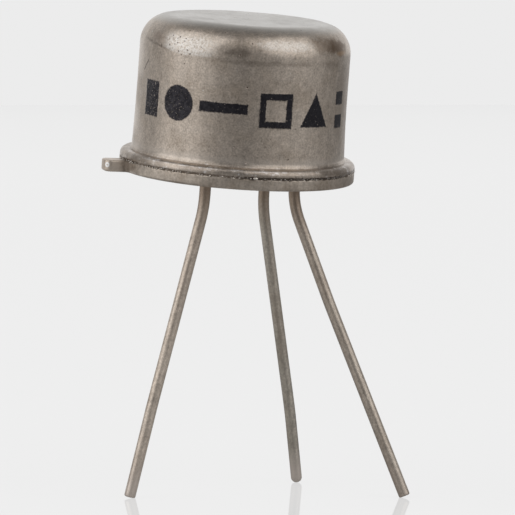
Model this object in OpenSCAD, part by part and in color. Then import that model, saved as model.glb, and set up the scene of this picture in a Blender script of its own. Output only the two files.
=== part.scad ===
// NPN transistor in a round metal can, standing on its three splayed leads.
// Millimetres. +Z is straight up. The origin is the centre of the header's underside, where the can
// meets a board. The can leans a little, as its hand-bent leads leave it, so all its pieces are drawn
// upright in the can's own frame and leaned together at the end.

/* [Cap] */
// Height of the can, from the header's underside to the top of the cap
can_h = 6.1; // [5.6:0.05:6.6]
// Outer diameter of the cap's straight wall
cap_d = 8.18; // [7.9:0.01:8.4]
// Thickness of the drawn metal of the cap
cap_wall = 0.25; // [0.2:0.01:0.3]
// Outer radius of the cap's top corner
cap_corner_r = 1.14; // [0.6:0.02:1.4]
// Height of the tapered foot of the wall, above the flange
cap_taper_h = 1.7; // [0.8:0.1:2]
// How much wider the wall is on each side at its foot
cap_taper = 0.05; // [0.02:0.01:0.08]
// Radius of the flare at the foot of the wall
cap_foot_r = 0.45; // [0.3:0.05:1.2]
// How far the wall flares out before it meets the flange
cap_foot_w = 0.05; // [0.02:0.01:0.08]
// Thickness of the cap's flange
cap_flange_t = 0.33; // [0.27:0.01:0.36]
// Outer diameter of the welded flange, the same on cap and header
flange_d = 9.15; // [9:0.01:9.4]
// Radius of the rounded upper edge of the cap's flange
cap_edge_r = 0.24; // [0.05:0.01:0.26]

/* [Header] */
// Thickness of the header's rim and tab
rim_t = 0.45; // [0.35:0.01:0.6]
// Radius of the coined edge of the header's rim
rim_edge_r = 0.1; // [0.04:0.01:0.15]
// Gap all round between the raised platform and the inside of the cap
platform_clear = 0.14; // [0.08:0.01:0.2]
// Height of the platform above the header's underside
platform_h = 1.3; // [0.9:0.05:1.6]
// Chamfer round the top of the platform
platform_chamfer = 0.1; // [0.04:0.01:0.12]
// Height of the melted weld ridge that is left between rim and cap
weld_gap = 0.03; // [0.02:0.01:0.06]
// Width of the weld ridge
weld_w = 0.22; // [0.1:0.01:0.3]
// How far the locating tab stands out from the rim
tab_l = 0.84; // [0.6:0.02:1.14]
// Width of the locating tab
tab_w = 0.8; // [0.7:0.01:0.9]
// Radius of the tab's two outer corners
tab_corner_r = 0.28; // [0.05:0.01:0.3]
// Radius of the fillets where the tab leaves the rim
tab_fillet_r = 0.14; // [0.1:0.01:0.4]

/* [Leads] */
// Diameter of the lead wire
lead_d = 0.44; // [0.41:0.01:0.53]
// How far inside the platform's edge the three leads pass, which puts them on a circle 5.08 across
lead_inset = 1.16; // [1.02:0.01:1.3]
// Diameter of the glass beads
glass_d = 1.8; // [1.4:0.05:2]
// How deep the glass sags between the wire and the metal, at either end of a bead
glass_sag = 0.08; // [0.02:0.01:0.12]
// Height of the two posts above the platform, up to the top of their heads
post_h = 0.95; // [0.6:0.05:1.4]
// Diameter of the flattened heads of the posts
head_d = 0.8; // [0.6:0.05:1]
// Thickness of the heads
head_t = 0.14; // [0.08:0.01:0.2]
// Diameter of the recess under the header that takes the collector's brazed joint
braze_d = 1.1; // [0.8:0.05:1.3]
// Depth of that recess
braze_recess = 0.15; // [0.05:0.01:0.25]
// How far the braze climbs down the collector's wire from the header
braze_fillet = 0.3; // [0.1:0.01:0.4]

/* [Emitter lead] */
// Straight length of the emitter's lead below the header
emitter_drop = 0.55; // [0.05:0.05:1.5]
// Angle of the bend that splays it
emitter_bend_angle = 11.8; // [5:0.05:30]
// Radius of that bend
emitter_bend_r = 5.2; // [1.5:0.1:8]
// Straight length after the bend
emitter_run = 7.1; // [2:0.05:8]
// Angle of the slight bow below that, less than 0 where it turns back inwards
emitter_bow_angle = -0.95; // [-3:0.05:3]
// Direction in which it is splayed, seen from above, from +X towards +Y
emitter_dir = 187.8; // [180:0.1:240]

/* [Base lead] */
// Straight length of the base's lead below the header
base_drop = 0.1; // [0.05:0.05:1.5]
// Angle of the bend that splays it
base_bend_angle = 25.9; // [5:0.05:30]
// Radius of that bend
base_bend_r = 3.1; // [1.5:0.1:8]
// Straight length after the bend
base_run = 3; // [2:0.05:8]
// Angle of the slight bow below that, less than 0 where it turns back inwards
base_bow_angle = 1.5; // [-3:0.05:3]
// Direction in which it is splayed, seen from above, from +X towards +Y
base_dir = 320.5; // [300:0.1:350]

/* [Collector lead] */
// Straight length of the collector's lead below the header
collector_drop = 0.9; // [0.45:0.05:1.5]
// Angle of the bend that splays it
collector_bend_angle = 11.65; // [5:0.05:30]
// Radius of that bend
collector_bend_r = 6; // [1.5:0.1:8]
// Straight length after the bend
collector_run = 7.25; // [2:0.05:8]
// Angle of the slight bow below that, less than 0 where it turns back inwards
collector_bow_angle = -1.95; // [-3:0.05:3]
// Direction in which it is splayed, seen from above, from +X towards +Y
collector_dir = 348.7; // [330:0.1:400]

/* [Lead wire] */
// Radius of the slight bow in each lead
bow_r = 30; // [20:1:60]
// How much thinner the wire is in its bends, on each side, where the bending stretched it
bend_thin = 0.003; // [0.001:0.001:0.01]
// Edge radius of the cut ends of the emitter's and base's leads
cut_end_r = 0.06; // [0.02:0.01:0.15]
// Edge radius of the rounder end of the collector's lead
round_end_r = 0.21; // [0.05:0.01:0.21]

/* [Stance] */
// How far the can leans from upright
lean = 7.45; // [0:0.05:9]
// Direction of the lean
lean_dir = 285.4; // [270:0.1:300]
// Height of the header's centre above the surface that the leads stand on
stand_h = 12.43; // [11.5:0.01:14]

/* [Chip] */
// Side of the square silicon chip
die_w = 0.76; // [0.6:0.01:1]
// Thickness of the chip
die_t = 0.2; // [0.1:0.01:0.3]
// Thickness of the solder under the chip
solder_t = 0.03; // [0.02:0.01:0.05]
// How far the solder stands out round the chip
solder_margin = 0.06; // [0.02:0.01:0.12]
// Distance of the chip from the can's axis, away from the two posts
die_offset = 0.4; // [0.2:0.05:0.8]
// Number of emitter fingers
fingers = 6; // [3:1:8]
// Thickness of the chip's metal, thicker than the real film so that it can be seen
metal_t = 0.008; // [0.004:0.001:0.015]
// Bare border round the metal, on the chip
die_border = 0.05; // [0.03:0.01:0.08]
// Width of the gap between neighbouring metal fingers
finger_gap = 0.016; // [0.01:0.001:0.02]
// Depth of each comb's spine, which is also its bond pad
pad_w = 0.15; // [0.12:0.01:0.18]
// Diameter of the bond wires
wire_d = 0.04; // [0.025:0.005:0.05]
// Diameter of the flattened ball where a bond wire meets the chip
ball_d = 0.11; // [0.08:0.01:0.12]
// Height of that ball
ball_h = 0.05; // [0.03:0.005:0.06]
// Diameter of the stitch where a bond wire meets its post
stitch_d = 0.12; // [0.08:0.01:0.16]

/* [Hidden] */
$fn = 96;
// Steps round a wire, where the full count would be wasted
wire_fn = 48;

// Cut tools reach this far past the faces that they open
past = 0.5;
// A bend's wire reaches this far into the straight lengths that it joins
lap = 0.02;
cap_r = cap_d / 2;
flange_r = flange_d / 2;
cap_inner_r = cap_r - cap_wall;
platform_r = cap_inner_r - platform_clear;
lead_r = lead_d / 2;
lead_circle_r = platform_r - lead_inset;
glass_r = glass_d / 2;
braze_r = braze_d / 2;
// The cap stands on the weld ridge
cap_z = rim_t + weld_gap;
cap_flange_top = cap_z + cap_flange_t;
taper_top = cap_flange_top + cap_taper_h;
foot_r = cap_r + cap_taper;
// Height of the flare, and where it starts on the tapered wall
flare_h = sqrt(pow(cap_foot_r, 2) - pow(cap_foot_r - cap_foot_w, 2));
flare_r = foot_r - cap_taper * flare_h / cap_taper_h;
// The weld ridge lies midway between the cap's wall and the edge of the flange
weld_r = (foot_r + flange_r) / 2;
post_top = platform_h + post_h;
// The leads leave the header at 45, 135 and 225 degrees from the tab, which points along -X
tab_dir = 180;
emitter_at = tab_dir + 45;
base_at = tab_dir + 135;
collector_at = tab_dir + 225;
// The upward direction of the surface, seen in the can's own frame
up = [-sin(lean) * cos(lean_dir), -sin(lean) * sin(lean_dir), cos(lean)];
// The chip lies on the platform, on the side away from the posts
post_side = (emitter_at + base_at) / 2;
die_centre = -die_offset * [cos(post_side), sin(post_side)];
die_z = platform_h + solder_t;
metal_z = die_z + die_t;
metal_w = die_w - 2 * die_border;

// A point on a circle round the can's axis
function around(r, angle) = [r * cos(angle), r * sin(angle), 0];

// Each lead: its place on the lead circle, then its sizes in the order of its Customizer section
emitter_path = [
    emitter_at, emitter_drop, emitter_bend_angle, emitter_bend_r, emitter_run, emitter_bow_angle, emitter_dir
];
base_path = [base_at, base_drop, base_bend_angle, base_bend_r, base_run, base_bow_angle, base_dir];
collector_path = [
    collector_at, collector_drop, collector_bend_angle, collector_bend_r, collector_run,
    collector_bow_angle, collector_dir
];

// How far a bend of radius r through angle a moves the wire sideways, and how far down
function bend_side(r, a) = sign(a) * r * (1 - cos(a));
function bend_down(r, a) = r * sin(abs(a));

// Sideways and downward reach of a lead from the header to the end of its bow
function reach_side(bend, bend_r, run, bow) =
    bend_side(bend_r, bend) + run * sin(bend)
    + bend_side(bow_r, bow) * cos(bend) + bend_down(bow_r, bow) * sin(bend);
function reach_down(drop, bend, bend_r, run, bow) =
    drop + bend_down(bend_r, bend) + run * cos(bend)
    + bend_down(bow_r, bow) * cos(bend) - bend_side(bow_r, bow) * sin(bend);

// Length of a lead's last straight run, whose rounded end just meets the surface: the height that is
// left over the surface at the end of the bow, less the end's own lower edge, along the last heading
function last_run(path, end_r) =
    let (
        at = path[0], drop = path[1], bend = path[2], bend_r = path[3], run = path[4], bow = path[5],
        dir = path[6],
        bow_end = around(lead_circle_r, at) + around(reach_side(bend, bend_r, run, bow), dir)
            - [0, 0, reach_down(drop, bend, bend_r, run, bow)],
        heading = [sin(bend + bow) * cos(dir), sin(bend + bow) * sin(dir), -cos(bend + bow)],
        fall = -(up * heading),
        slope = sqrt(1 - fall * fall)
    )
    (stand_h + up * bow_end - end_r - (lead_r - end_r) * slope) / fall + end_r;

// Leans the can's own frame to the way it stands
module stand() {
    rotate(a = lean, v = [-sin(lean_dir), cos(lean_dir), 0]) children();
}

// A quarter disc in the first quadrant, which rounds an outside corner
module quarter(r) {
    intersection() {
        circle(r);
        square(r);
    }
}

// Half section of a round slug of height h, with its outer top corner rounded
module rounded_slug(r, h, corner) {
    square([r - corner, h]);
    translate([r - corner, 0]) square([corner, h - corner]);
    translate([r - corner, h - corner]) quarter(corner);
}

// Half section of the wall's tapered foot, wider by the taper at its lower end
module taper(r, z) {
    polygon([[0, z], [r + cap_taper, z], [r, taper_top], [0, taper_top]]);
}

module cap_section() {
    difference() {
        union() {
            translate([0, cap_z]) rounded_slug(cap_r, can_h - cap_z, cap_corner_r);
            taper(cap_r, cap_flange_top);
            translate([0, cap_z]) square([flange_r - cap_edge_r, cap_flange_t]);
            translate([flange_r - cap_edge_r, cap_z]) square([cap_edge_r, cap_flange_t - cap_edge_r]);
            translate([flange_r - cap_edge_r, cap_flange_top - cap_edge_r]) quarter(cap_edge_r);
            // Flare at the foot of the wall
            difference() {
                translate([cap_r, cap_flange_top]) square([flare_r + cap_foot_w - cap_r, flare_h]);
                translate([flare_r + cap_foot_r, cap_flange_top + flare_h]) circle(cap_foot_r);
            }
        }
        translate([0, cap_z - past])
            rounded_slug(cap_inner_r, can_h - cap_wall - cap_z + past, cap_corner_r - cap_wall);
        polygon([
            [0, cap_z - past], [cap_inner_r + cap_taper, cap_z - past],
            [cap_inner_r + cap_taper, cap_flange_top], [cap_inner_r, taper_top], [0, taper_top]
        ]);
    }
}

// Drawn cap with its welding flange
module cap() {
    color("silver") stand() rotate_extrude() cap_section();
}

// Outline of the locating tab, with rounded corners and a fillet on each side at the rim. It starts
// inside the rim, where its corners are well clear of the rim's coined edge.
module tab_outline() {
    tip = flange_r + tab_l;
    root = sqrt(pow(flange_r + tab_fillet_r, 2) - pow(tab_w / 2 + tab_fillet_r, 2));
    mid = flange_r - rim_edge_r - tab_w / 4;
    translate([mid, -tab_w / 2]) square([tip - tab_corner_r - mid, tab_w]);
    translate([tip - tab_corner_r, -tab_w / 2 + tab_corner_r])
        square([tab_corner_r, tab_w - 2 * tab_corner_r]);
    for (side = [0, 1]) mirror([0, side]) {
        translate([tip - tab_corner_r, tab_w / 2 - tab_corner_r]) quarter(tab_corner_r);
        difference() {
            translate([mid, tab_w / 2]) square([root - mid, tab_fillet_r]);
            translate([root, tab_w / 2 + tab_fillet_r]) circle(tab_fillet_r);
        }
    }
}

module header_section() {
    square([flange_r - rim_edge_r, rim_t]);
    translate([flange_r - rim_edge_r, rim_edge_r]) square([rim_edge_r, rim_t - 2 * rim_edge_r]);
    translate([flange_r - rim_edge_r, rim_t - rim_edge_r]) quarter(rim_edge_r);
    translate([flange_r - rim_edge_r, rim_edge_r]) mirror([0, 1]) quarter(rim_edge_r);
    polygon([
        [0, rim_t], [platform_r, rim_t], [platform_r, platform_h - platform_chamfer],
        [platform_r - platform_chamfer, platform_h], [0, platform_h]
    ]);
    translate([weld_r - weld_w / 2, rim_t]) square([weld_w, weld_gap]);
}

// Header with its tab, platform, weld ridge, two glass holes and the collector's recess
module header() {
    color("darkkhaki") stand() difference() {
        union() {
            rotate_extrude() header_section();
            rotate([0, 0, tab_dir]) linear_extrude(rim_t) tab_outline();
        }
        for (at = [emitter_at, base_at])
            translate(around(lead_circle_r, at) - [0, 0, past])
                cylinder(r = glass_r, h = platform_h + 2 * past);
        translate(around(lead_circle_r, collector_at) - [0, 0, past])
            cylinder(r = braze_r, h = braze_recess + past);
    }
}

// Glass bead round a post, sagging at both ends between the wire and the metal
module bead(at) {
    half = (glass_r - lead_r) / 2;
    sag_r = (half * half + glass_sag * glass_sag) / (2 * glass_sag);
    stand() translate(around(lead_circle_r, at)) rotate_extrude() difference() {
        translate([lead_r, 0]) square([2 * half, platform_h]);
        translate([lead_r + half, platform_h - glass_sag + sag_r]) circle(sag_r, $fn = 4 * $fn);
        translate([lead_r + half, glass_sag - sag_r]) circle(sag_r, $fn = 4 * $fn);
    }
}

module emitter_glass() {
    color("teal") bead(emitter_at);
}

module base_glass() {
    color("teal") bead(base_at);
}

// One bend of the wire: it heads down and turns towards +X, or towards -X where the angle is negative
module bend(r, a) {
    lap_angle = lap / r * 180 / PI;
    mirror([a < 0 ? 1 : 0, 0, 0]) translate([r, 0, 0]) rotate([90, 0, 0])
        rotate_extrude(angle = abs(a) + 2 * lap_angle, start = 180 - lap_angle)
            translate([r, 0]) circle(lead_r - bend_thin, $fn = wire_fn);
}

// Moves on to the end of a bend and turns to its new heading
module after_bend(r, a) {
    translate([bend_side(r, a), 0, -bend_down(r, a)]) rotate([0, -a, 0]) children();
}

// A straight length of wire, heading down
module straight(l) {
    mirror([0, 0, 1]) cylinder(r = lead_r, h = l, $fn = wire_fn);
}

// The last straight length, with the edge of its cut end rounded
module cut_end(l, end_r) {
    mirror([0, 0, 1]) rotate_extrude($fn = wire_fn) rounded_slug(lead_r, l, end_r);
}

// A bent lead, from the height top above the header's underside down to the surface
module lead(path, end_r, top) {
    drop = path[1];
    bend = path[2];
    bend_r = path[3];
    run = path[4];
    bow = path[5];
    translate(around(lead_circle_r, path[0])) rotate([0, 0, path[6]]) {
        translate([0, 0, top]) straight(top + drop);
        translate([0, 0, -drop]) {
            bend(bend_r, bend);
            after_bend(bend_r, bend) {
                straight(run);
                translate([0, 0, -run]) {
                    bend(bow_r, bow);
                    after_bend(bow_r, bow) cut_end(last_run(path, end_r), end_r);
                }
            }
        }
    }
}

// The flattened head on the inner end of a post, which takes the bond wire
module post_head(at) {
    translate(around(lead_circle_r, at) + [0, 0, post_top - head_t]) cylinder(r = head_d / 2, h = head_t);
}

module emitter_lead() {
    color("gray") stand() {
        post_head(emitter_at);
        lead(emitter_path, cut_end_r, post_top - head_t);
    }
}

module base_lead() {
    color("gray") stand() {
        post_head(base_at);
        lead(base_path, cut_end_r, post_top - head_t);
    }
}

// The collector's lead is butted into the recess under the header
module collector_lead() {
    color("gray") stand() lead(collector_path, round_end_r, braze_recess);
}

// Braze that fills the recess round the collector's wire and runs down the wire in a hollow fillet
module collector_braze() {
    color("goldenrod") stand() translate(around(lead_circle_r, collector_at)) rotate_extrude() difference() {
        translate([lead_r, -braze_fillet]) square([braze_r - lead_r, braze_fillet + braze_recess]);
        translate([braze_r, -braze_fillet])
            scale([(braze_r - lead_r) / braze_fillet, 1]) circle(braze_fillet);
    }
}

module die_solder() {
    side = die_w + 2 * solder_margin;
    color("gold") stand() translate([die_centre.x, die_centre.y, platform_h + solder_t / 2])
        cube([side, side, solder_t], center = true);
}

module die() {
    color("dimgray") stand() translate([die_centre.x, die_centre.y, die_z + die_t / 2])
        cube([die_w, die_w, die_t], center = true);
}

// The two combs lie between spines at the left and right of the chip. The emitter's fingers and one
// more of the base's alternate from front to back, all of one width.
finger_count = 2 * fingers + 1;
finger_w = (metal_w - (finger_count - 1) * finger_gap) / finger_count;
finger_l = metal_w - 2 * pad_w - finger_gap;

// One comb: its spine at the left, and the fingers whose places in the row are listed
module comb(places) {
    linear_extrude(metal_t) translate([-metal_w / 2, -metal_w / 2]) {
        square([pad_w, metal_w]);
        for (place = places)
            translate([pad_w, place * (finger_w + finger_gap)]) square([finger_l, finger_w]);
    }
}

module emitter_metal() {
    color("lightgray") stand() translate([die_centre.x, die_centre.y, metal_z])
        comb([for (n = [0 : fingers - 1]) 2 * n + 1]);
}

module base_metal() {
    color("lightgray") stand() translate([die_centre.x, die_centre.y, metal_z]) mirror([1, 0, 0])
        comb([for (n = [0 : fingers]) 2 * n]);
}

// A bond wire: a flattened ball on the pad, one loop that rises straight from it, and a stitch on the post
module bond_wire(pad, at) {
    wire_r = wire_d / 2;
    ball_z = metal_z + metal_t;
    post = around(lead_circle_r, at);
    span = norm([post.x - pad.x, post.y - pad.y]);
    dir = atan2(post.y - pad.y, post.x - pad.x);
    loop_z = ball_z + ball_h / 2;
    rise = post_top + wire_r - loop_z;
    // The loop's circle has its centre level with the ball
    loop_r = (span * span + rise * rise) / (2 * span);
    down_to = atan2(rise, span - loop_r);
    stand() {
        translate([pad.x, pad.y, ball_z + ball_h / 2]) intersection() {
            sphere(d = ball_d, $fn = wire_fn);
            cube([ball_d, ball_d, ball_h], center = true);
        }
        translate([pad.x, pad.y, loop_z]) rotate([0, 0, dir]) translate([loop_r, 0, 0]) rotate([90, 0, 0])
            rotate_extrude(angle = 180 - down_to, start = down_to)
                translate([loop_r, 0]) circle(wire_r, $fn = wire_fn / 2);
        translate([post.x, post.y, post_top]) cylinder(d = stitch_d, h = wire_d + wire_r / 2, $fn = wire_fn);
    }
}

pad_reach = (metal_w - pad_w) / 2;

module emitter_wire() {
    color("gold") bond_wire(die_centre - [pad_reach, 0], emitter_at);
}

module base_wire() {
    color("gold") bond_wire(die_centre + [pad_reach, 0], base_at);
}

cap();
header();
emitter_glass();
base_glass();
emitter_lead();
base_lead();
collector_lead();
collector_braze();
die_solder();
die();
emitter_metal();
base_metal();
emitter_wire();
base_wire();
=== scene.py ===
import math

import bmesh
import bpy
from mathutils import Matrix, Vector, noise


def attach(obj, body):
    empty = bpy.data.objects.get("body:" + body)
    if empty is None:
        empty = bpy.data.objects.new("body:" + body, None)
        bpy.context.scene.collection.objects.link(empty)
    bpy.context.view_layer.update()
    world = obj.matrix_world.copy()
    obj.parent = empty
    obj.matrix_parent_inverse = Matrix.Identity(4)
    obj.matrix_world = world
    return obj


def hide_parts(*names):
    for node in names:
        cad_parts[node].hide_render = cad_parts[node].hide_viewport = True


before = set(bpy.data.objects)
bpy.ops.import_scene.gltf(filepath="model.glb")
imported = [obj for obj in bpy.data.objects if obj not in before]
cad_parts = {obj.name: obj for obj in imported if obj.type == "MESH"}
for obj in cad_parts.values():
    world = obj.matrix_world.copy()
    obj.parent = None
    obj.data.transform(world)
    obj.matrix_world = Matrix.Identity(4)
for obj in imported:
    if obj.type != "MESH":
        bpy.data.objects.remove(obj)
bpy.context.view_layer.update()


# Header. A disc stamped from nickel-plated steel, with a locating tab on its rim and a raised platform inside
# the cap. Its rim is coined round at both edges. Two holes take the glass beads, and a shallow recess
# underneath takes the brazed lead. All of the can is drawn upright in millimetres, then leaned.

LEAN = math.radians(7.45)
LEAN_DIRECTION = math.radians(285.4)
lean_axis = Vector((-math.sin(LEAN_DIRECTION), math.cos(LEAN_DIRECTION), 0))
stance = Matrix.Rotation(LEAN, 4, lean_axis) @ Matrix.Scale(0.001, 4)
upright_angles = stance.to_3x3().normalized().inverted().to_euler()

RIM_RADIUS = 4.575
RIM_THICKNESS = 0.45
RIM_EDGE = 0.1
RIM_UPPER_EDGE = 0.06
TAB_REACH = 0.84
TAB_WIDTH = 0.8
TAB_CORNER = 0.28
TAB_FILLET = 0.14
PLATFORM_RADIUS = 3.7
PLATFORM_HEIGHT = 1.3
PLATFORM_CHAMFER = 0.1
PLATFORM_FILLET = 0.04
# Rings of mesh that lie in the flat faces
MIDDLE_RING = 2.0
LOWER_RING = 4.2
UPPER_RING = 4.38
LEAD_CIRCLE = 2.54
BEAD_RADIUS = 0.9
BRAZE_RADIUS = 0.55
BRAZE_RECESS = 0.15
DRILL_FROM = -0.5
DRILL_THROUGH = PLATFORM_HEIGHT + 1
TAB_AT = math.pi
EMITTER_AT = TAB_AT + math.radians(45)
BASE_AT = TAB_AT + math.radians(135)
COLLECTOR_AT = TAB_AT + math.radians(225)


def direction(angle, length=1):
    return Vector((length * math.cos(angle), length * math.sin(angle)))


def arc(centre, radius, start, end, steps):
    """Points of an arc, angles in degrees."""
    angles = [math.radians(start + (end - start) * n / steps) for n in range(steps + 1)]
    return [(centre[0] + radius * math.cos(a), centre[1] + radius * math.sin(a)) for a in angles]


def new_object(name, mesh):
    piece = bpy.data.objects.new(name, mesh)
    bpy.context.scene.collection.objects.link(piece)
    return piece


def object_from(bm, name):
    mesh = bpy.data.meshes.new(name)
    bm.to_mesh(mesh)
    bm.free()
    return new_object(name, mesh)


def keep_evaluated(piece):
    """Keeps what a piece's modifiers make of it as its plain mesh."""
    result = bpy.data.meshes.new_from_object(piece.evaluated_get(bpy.context.evaluated_depsgraph_get()))
    piece.modifiers.clear()
    piece.data = result
    result.name = piece.name


def settle(piece, material, node=None, sharp=35):
    """Leans a piece drawn upright in millimetres, shades it smooth and hands it to the frame."""
    mesh = piece.data
    mesh.transform(stance)
    mesh.materials.clear()
    mesh.materials.append(material)
    mesh.shade_smooth()
    mesh.set_sharp_from_angle(angle=math.radians(sharp))
    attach(piece, "root")
    if node:
        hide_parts(node)


def skin(bm, loops):
    """Joins loops of equally many points, or of one, each to the next and the last to the first."""
    for loop, following in zip(loops, loops[1:] + loops[:1]):
        count = max(len(loop), len(following))
        for n in range(count):
            m = (n + 1) % count
            if len(loop) == 1 and len(following) == 1:
                continue
            if len(loop) == 1:
                bm.faces.new((loop[0], following[n], following[m]))
            elif len(following) == 1:
                bm.faces.new((loop[n], following[0], loop[m]))
            else:
                bm.faces.new((loop[n], following[n], following[m], loop[m]))
    bmesh.ops.recalc_face_normals(bm, faces=bm.faces)


def rim_outline():
    """Outline of rim and tab as (point, outward normal), once round, with the tab towards +X."""
    half = TAB_WIDTH / 2
    root = math.sqrt((RIM_RADIUS + TAB_FILLET) ** 2 - (half + TAB_FILLET) ** 2)
    meet = math.atan2(half + TAB_FILLET, root)
    tip = RIM_RADIUS + TAB_REACH
    out, across = tip - TAB_CORNER, half - TAB_CORNER
    side = [(Vector((tip, across * n / 5)), Vector((1, 0))) for n in range(5)]
    for n in range(9):
        normal = direction(math.radians(90 * n / 8))
        side.append((Vector((out, across)) + TAB_CORNER * normal, normal))
    for n in range(1, 8):
        side.append((Vector((out + (root - out) * n / 8, half)), Vector((0, 1))))
    for n in range(9):
        normal = -direction(-math.pi / 2 - (math.pi / 2 - meet) * n / 8)
        side.append((Vector((root, half + TAB_FILLET)) - TAB_FILLET * normal, normal))
    for n in range(1, 150):
        normal = direction(meet + (math.pi - meet) * n / 149)
        side.append((RIM_RADIUS * normal, normal))
    other = [(Vector((p.x, -p.y)), Vector((v.x, -v.y))) for p, v in side[1:-1]]
    return side + other[::-1]


def build_header():
    bm = bmesh.new()
    outline = rim_outline()
    turn = Matrix.Rotation(TAB_AT, 3, "Z")

    def outline_loop(inset, z):
        return [bm.verts.new(turn @ Vector((*(p - inset * v), z))) for p, v in outline]

    def round_loop(radius, z):
        return [bm.verts.new(turn @ Vector((*(radius * p.normalized()), z))) for p, v in outline]

    edge = [math.radians(15 * n) for n in range(7)]
    upper = RIM_UPPER_EDGE
    loops = [[bm.verts.new((0, 0, 0))], round_loop(MIDDLE_RING, 0), round_loop(LOWER_RING, 0)]
    loops += [outline_loop(RIM_EDGE * (1 - math.sin(a)), RIM_EDGE * (1 - math.cos(a))) for a in edge]
    for a in edge:
        loops.append(outline_loop(upper * (1 - math.cos(a)), RIM_THICKNESS - upper * (1 - math.sin(a))))
    loops += [
        round_loop(UPPER_RING, RIM_THICKNESS),
        round_loop(PLATFORM_RADIUS + PLATFORM_FILLET, RIM_THICKNESS),
        round_loop(PLATFORM_RADIUS, RIM_THICKNESS + PLATFORM_FILLET),
        round_loop(PLATFORM_RADIUS, PLATFORM_HEIGHT - PLATFORM_CHAMFER),
        round_loop(PLATFORM_RADIUS - PLATFORM_CHAMFER, PLATFORM_HEIGHT),
        round_loop(MIDDLE_RING, PLATFORM_HEIGHT),
        [bm.verts.new((0, 0, PLATFORM_HEIGHT))],
    ]
    skin(bm, loops)
    disc = object_from(bm, "header_disc")

    drills = bmesh.new()
    for at, radius, depth in (
        (EMITTER_AT, BEAD_RADIUS, DRILL_THROUGH),
        (BASE_AT, BEAD_RADIUS, DRILL_THROUGH),
        (COLLECTOR_AT, BRAZE_RADIUS, BRAZE_RECESS),
    ):
        place = Matrix.Translation((*direction(at, LEAD_CIRCLE), (DRILL_FROM + depth) / 2))
        size = {"radius1": radius, "radius2": radius, "depth": depth - DRILL_FROM}
        bmesh.ops.create_cone(drills, cap_ends=True, segments=96, matrix=place, **size)
    drill = object_from(drills, "header_drills")
    cut = disc.modifiers.new("holes", "BOOLEAN")
    cut.operation = "DIFFERENCE"
    cut.solver = "EXACT"
    cut.object = drill
    keep_evaluated(disc)
    bpy.data.objects.remove(drill)
    return disc


def feed(node, values):
    """Gives a node's inputs their values. A socket among them is linked; a colour comes without alpha."""
    for key, value in values.items():
        socket = node.inputs[key]
        if isinstance(value, bpy.types.NodeSocket):
            node.id_data.links.new(value, socket)
        elif socket.type == "RGBA":
            socket.default_value = (*value, 1)
        else:
            socket.default_value = value


def add(tree, kind, values=None, **settings):
    """A node with its settings and its inputs' values."""
    node = tree.nodes.new(kind)
    for key, value in settings.items():
        setattr(node, key, value)
    feed(node, values or {})
    return node


def made(tree, kind, values=None, **settings):
    """The first output of a new node."""
    return add(tree, kind, values, **settings).outputs[0]


def tree_of(*values):
    """The node tree that the sockets among some values are in."""
    return next(value for value in values if isinstance(value, bpy.types.NodeSocket)).id_data


def node_from(kind, *values, **settings):
    """The outputs of a node that takes the values in order."""
    return add(tree_of(*values), kind, dict(enumerate(values)), **settings).outputs


def maths(operation, *values):
    return node_from("ShaderNodeMath", *values, operation=operation)[0]


def times(first, *others):
    for other in others:
        first = maths("MULTIPLY", first, other)
    return first


def plus(first, second):
    return maths("ADD", first, second)


def minus(first, second):
    return maths("SUBTRACT", first, second)


def apart(first, second):
    return maths("ABSOLUTE", minus(first, second))


def hypotenuse(first, second):
    return maths("SQRT", plus(times(first, first), times(second, second)))


def vectors(operation, *values):
    """Vector maths that gives a vector."""
    return node_from("ShaderNodeVectorMath", *values, operation=operation)[0]


def measure(operation, *values):
    """Vector maths that gives a number."""
    return node_from("ShaderNodeVectorMath", *values, operation=operation)["Value"]


def axes_of(vector):
    return node_from("ShaderNodeSeparateXYZ", vector)


def flattened(vector):
    return vectors("MULTIPLY", vector, (1, 1, 0))


def drawn_out(across, along, share):
    """Coordinates that run slowly along the third axis, so that speckle becomes streaks."""
    return node_from("ShaderNodeCombineXYZ", across[0], across[1], times(along, share))[0]


def ramp(value, low, high, to_low=0.0, to_high=1.0, smooth=True):
    """A value taken from one range to another, clamped."""
    kind = "SMOOTHSTEP" if smooth else "LINEAR"
    return node_from("ShaderNodeMapRange", value, low, high, to_low, to_high, interpolation_type=kind)[0]


def blend(amount, first, second, kind="MIX"):
    """One colour mixed with another."""
    values = {0: amount, 6: first, 7: second}
    tree = tree_of(amount, first, second)
    return add(tree, "ShaderNodeMix", values, data_type="RGBA", blend_type=kind).outputs[2]


def grey(value):
    return node_from("ShaderNodeCombineColor", value, value, value)[0]


def shade(colour, gain):
    return blend(1.0, colour, grey(gain), "MULTIPLY")


def speckle(coordinates, scale, detail=2.0, roughness=0.5):
    values = {"Vector": coordinates, "Scale": scale, "Detail": detail, "Roughness": roughness}
    return add(coordinates.id_data, "ShaderNodeTexNoise", values).outputs["Fac"]


def mottle(coordinates, kind, low, high, to_low=0.0, to_high=1.0):
    """Speckle of a kind (scale, detail, roughness), taken from one range to another."""
    return ramp(speckle(coordinates, *kind), low, high, to_low, to_high)


def unevenness(coordinates, kind, amount):
    """Speckle of a kind (scale, detail, roughness) that swings round zero."""
    return times(minus(speckle(coordinates, *kind), 0.5), amount)


def relief(shader, height, depth, strength=1.0):
    """Lets a height bump the surface; the depth is in metres."""
    values = {"Strength": strength, "Distance": depth, "Height": height}
    feed(shader, {"Normal": made(shader.id_data, "ShaderNodeBump", values)})


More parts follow.
